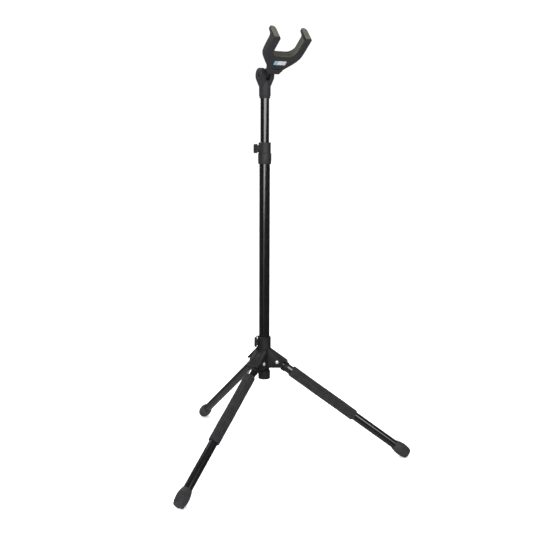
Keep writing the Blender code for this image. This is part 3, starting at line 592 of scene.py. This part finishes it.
def make_pad(side, sign):
    """Crowned rubber pad on an arm's end face, wider at the foot and round at the top."""
    finger = (ARM_OUT - NOTCH_HALF) / 2
    centre_x = sign * (NOTCH_HALF + finger)
    low = ARM_UNDER + 3 * MM
    high = TIP_TOP - 2 * MM
    centre_z = (low + high) / 2
    centre_y = ARM_END - (centre_z - ARM_UNDER) * math.tan(TIP_LEAN)
    half_height = (high - low) / 2 - GAP
    half_width = finger - PAD_MARGIN - GAP
    outline = []
    for i in range(PAD_SIDES):
        angle = 2 * math.pi * i / PAD_SIDES
        reach_x = math.cos(angle)
        reach_z = math.sin(angle)
        if reach_z >= 0:
            outline.append((half_width * reach_x, half_height - half_width + half_width * reach_z))
        else:
            outline.append((math.copysign(half_width - PAD_CORNER, reach_x) + PAD_CORNER * reach_x,
                            PAD_CORNER - half_height + PAD_CORNER * reach_z))
    depth = PAD_RECESS - GAP
    levels = [(1.0, -depth), (1.0, PAD_PROUD * 0.35), (0.985, PAD_PROUD * 0.62), (0.94, PAD_PROUD * 0.84)]
    levels += [(0.86, PAD_PROUD * 0.95), (0.6, PAD_PROUD), (0.3, PAD_PROUD)]
    rings = [[(0, -depth, 0)]]
    for share, height in levels:
        rings.append([(x * share, height, z * share) for x, z in outline])
    rings.append([(0, PAD_PROUD, 0)])
    mesh = ring_mesh("tip_rubber_" + side, rings, PAD_SIDES, False)
    lean = Matrix.Rotation(TIP_LEAN, 4, "X")
    place = yoke_matrix() @ Matrix.Translation((centre_x, centre_y, centre_z)) @ lean
    piece = finish_piece("tip_rubber_" + side, mesh, place, PAD_RUBBER, "yoke", "olive_rubber",
                         "tip_pad_" + side)


make_lining()
make_pad("right", -1)
make_pad("left", 1)

# ---- floor, light and camera -----------------------------------------------------------------

CAMERA_DISTANCE = 1.9036
CAMERA_BEARING = math.radians(29.333)
CAMERA_HEIGHT = 0.743
LOOK_BEARING = math.radians(29.478)
LOOK_DOWN = math.radians(8.355)
CAMERA_ROLL = math.radians(0.156)
CAMERA_LENS = 55.54                     # mm, on a sensor this wide
CAMERA_SENSOR = 36.0
VIEW_BEARING = 29.3                     # degrees round the column, from the front to the camera
LIGHT_DISTANCE = 2.5
RIB_LIGHT_SIZE = 0.5
RIB_LIGHT_DISTANCE = 1.6
RIB_LIGHT_RADIANCE = 12.0
FLOOR_REACH = 40.0
FLOOR_GLOW = 0.2
FLOOR_DROP = 0.4 * MM                   # below the feet, so that the faces do not meet


def make_floor():
    """Plain pale floor, evenly lit. Mirrored, the world's dim lower half stands in for it."""
    look = Look("pale_floor", specular=0.05)
    grain = look.noise(14.0, 3.0)
    look.base(look.colour(grain, (0.955, 0.955, 0.955), (0.97, 0.97, 0.97)))
    look.rough(look.spread(grain, 0.8, 0.9))
    look.shader.inputs["Emission Color"].default_value = (1, 1, 1, 1)
    look.shader.inputs["Emission Strength"].default_value = FLOOR_GLOW
    solid = bmesh.new()
    bmesh.ops.create_circle(solid, cap_ends=True, radius=FLOOR_REACH, segments=96)
    mesh = bpy.data.meshes.new("pale_floor")
    solid.to_mesh(mesh)
    solid.free()
    mesh.materials.append(look.material)
    floor = bpy.data.objects.new("pale_floor", mesh)
    floor.location.z = -FLOOR_DROP
    floor.visible_glossy = False
    bpy.context.scene.collection.objects.link(floor)


def make_light(name, bearing, low, high, width, radiance):
    """Upright soft panel that faces the column. The bearing is round the column, from the front."""
    data = bpy.data.lights.new(name, "AREA")
    data.shape = "RECTANGLE"
    data.size = width
    data.size_y = high - low
    data.energy = radiance * math.pi * width * (high - low)
    light = bpy.data.objects.new(name, data)
    angle = math.radians(bearing)
    away = Vector((-math.sin(angle), -math.cos(angle), 0))
    light.location = Vector((COLUMN.x, COLUMN.y, (low + high) / 2)) + away * LIGHT_DISTANCE
    light.rotation_euler = (-away).to_track_quat("-Z", "Z").to_euler()
    bpy.context.scene.collection.objects.link(light)


def make_rib_light():
    """Small light above and behind the hub, mirrored in the ribs of its sloping roof."""
    data = bpy.data.lights.new("rib_light", "AREA")
    data.size = RIB_LIGHT_SIZE
    data.energy = RIB_LIGHT_RADIANCE * math.pi * RIB_LIGHT_SIZE ** 2
    light = bpy.data.objects.new("rib_light", data)
    hub = Vector((COLUMN.x, COLUMN.y, JOINTS["leg_fold_left"]["pos_m"][2]))
    away = Vector((-0.24, 0.43, 0.87)).normalized()
    light.location = hub + away * RIB_LIGHT_DISTANCE
    light.rotation_euler = (-away).to_track_quat("-Z", "Y").to_euler()
    bpy.context.scene.collection.objects.link(light)


def world_shade(tree, facing_to, start, stop, low, high):
    """Brightness that rises from low to high as the ray turns to face one way."""
    direction = tree.nodes.new("ShaderNodeTexCoord")
    facing = tree.nodes.new("ShaderNodeVectorMath")
    facing.operation = "DOT_PRODUCT"
    facing.inputs[1].default_value = facing_to
    shade = tree.nodes.new("ShaderNodeMapRange")
    for socket, number in (("From Min", start), ("From Max", stop), ("To Min", low), ("To Max", high)):
        shade.inputs[socket].default_value = number
    tree.links.new(direction.outputs["Generated"], facing.inputs[0])
    tree.links.new(facing.outputs["Value"], shade.inputs["Value"])
    return shade.outputs["Result"]


def backdrop(tree, brightness):
    """Almost white background shader of this brightness."""
    made = tree.nodes.new("ShaderNodeBackground")
    made.inputs["Color"].default_value = (0.97, 0.98, 1.0, 1)
    tree.links.new(brightness, made.inputs["Strength"])
    return made


def make_world():
    """White in view. Soft light is stronger from the left. Mirrored, it is a dark studio."""
    world = bpy.data.worlds.new("studio")
    bpy.context.scene.world = world
    world.use_nodes = True
    tree = world.node_tree
    seen = tree.nodes["Background"]
    seen.inputs["Color"].default_value = (1, 1, 1, 1)
    seen.inputs["Strength"].default_value = 1.05
    ahead = Vector((math.sin(LOOK_BEARING), math.cos(LOOK_BEARING), 0.35))
    left = Vector((-math.cos(LOOK_BEARING), math.sin(LOOK_BEARING), 0.45))
    soft = backdrop(tree, world_shade(tree, left, -1.0, 1.0, 0.30, 1.95))
    brighter = tree.nodes.new("ShaderNodeMath")
    brighter.operation = "MAXIMUM"
    tree.links.new(world_shade(tree, ahead, 0.70, 0.95, 0.05, 0.50), brighter.inputs[0])
    tree.links.new(world_shade(tree, (0, 0, -1), 0.30, 0.55, 0.05, 0.24), brighter.inputs[1])
    mirrored = backdrop(tree, brighter.outputs["Value"])
    ray = tree.nodes.new("ShaderNodeLightPath")
    lit = tree.nodes.new("ShaderNodeMixShader")
    mix = tree.nodes.new("ShaderNodeMixShader")
    tree.links.new(ray.outputs["Is Glossy Ray"], lit.inputs[0])
    tree.links.new(soft.outputs[0], lit.inputs[1])
    tree.links.new(mirrored.outputs[0], lit.inputs[2])
    tree.links.new(ray.outputs["Is Camera Ray"], mix.inputs[0])
    tree.links.new(lit.outputs[0], mix.inputs[1])
    tree.links.new(seen.outputs[0], mix.inputs[2])
    tree.links.new(mix.outputs[0], tree.nodes["World Output"].inputs["Surface"])


def make_camera():
    """Camera ahead of the stand and to one side of it, looking a little down."""
    data = bpy.data.cameras.new("camera")
    data.lens = CAMERA_LENS
    data.sensor_width = CAMERA_SENSOR
    camera = bpy.data.objects.new("camera", data)
    bpy.context.scene.collection.objects.link(camera)
    side = math.sin(CAMERA_BEARING) * CAMERA_DISTANCE
    ahead = math.cos(CAMERA_BEARING) * CAMERA_DISTANCE
    camera.location = (COLUMN.x - side, COLUMN.y - ahead, CAMERA_HEIGHT)
    level = math.cos(LOOK_DOWN)
    look = Vector((math.sin(LOOK_BEARING) * level, math.cos(LOOK_BEARING) * level, -math.sin(LOOK_DOWN)))
    turn = look.to_track_quat("-Z", "Y").to_matrix() @ Matrix.Rotation(CAMERA_ROLL, 3, "Z")
    camera.rotation_euler = turn.to_euler()
    bpy.context.scene.camera = camera


make_floor()
make_world()
make_light("high_softbox", VIEW_BEARING - 16, low=0.70, high=2.3, width=4.0, radiance=3.6)
make_light("low_panel", VIEW_BEARING + 4, low=0.30, high=0.70, width=2.2, radiance=0.5)
make_rib_light()
bpy.context.scene.view_settings.view_transform = "Standard"
make_camera()
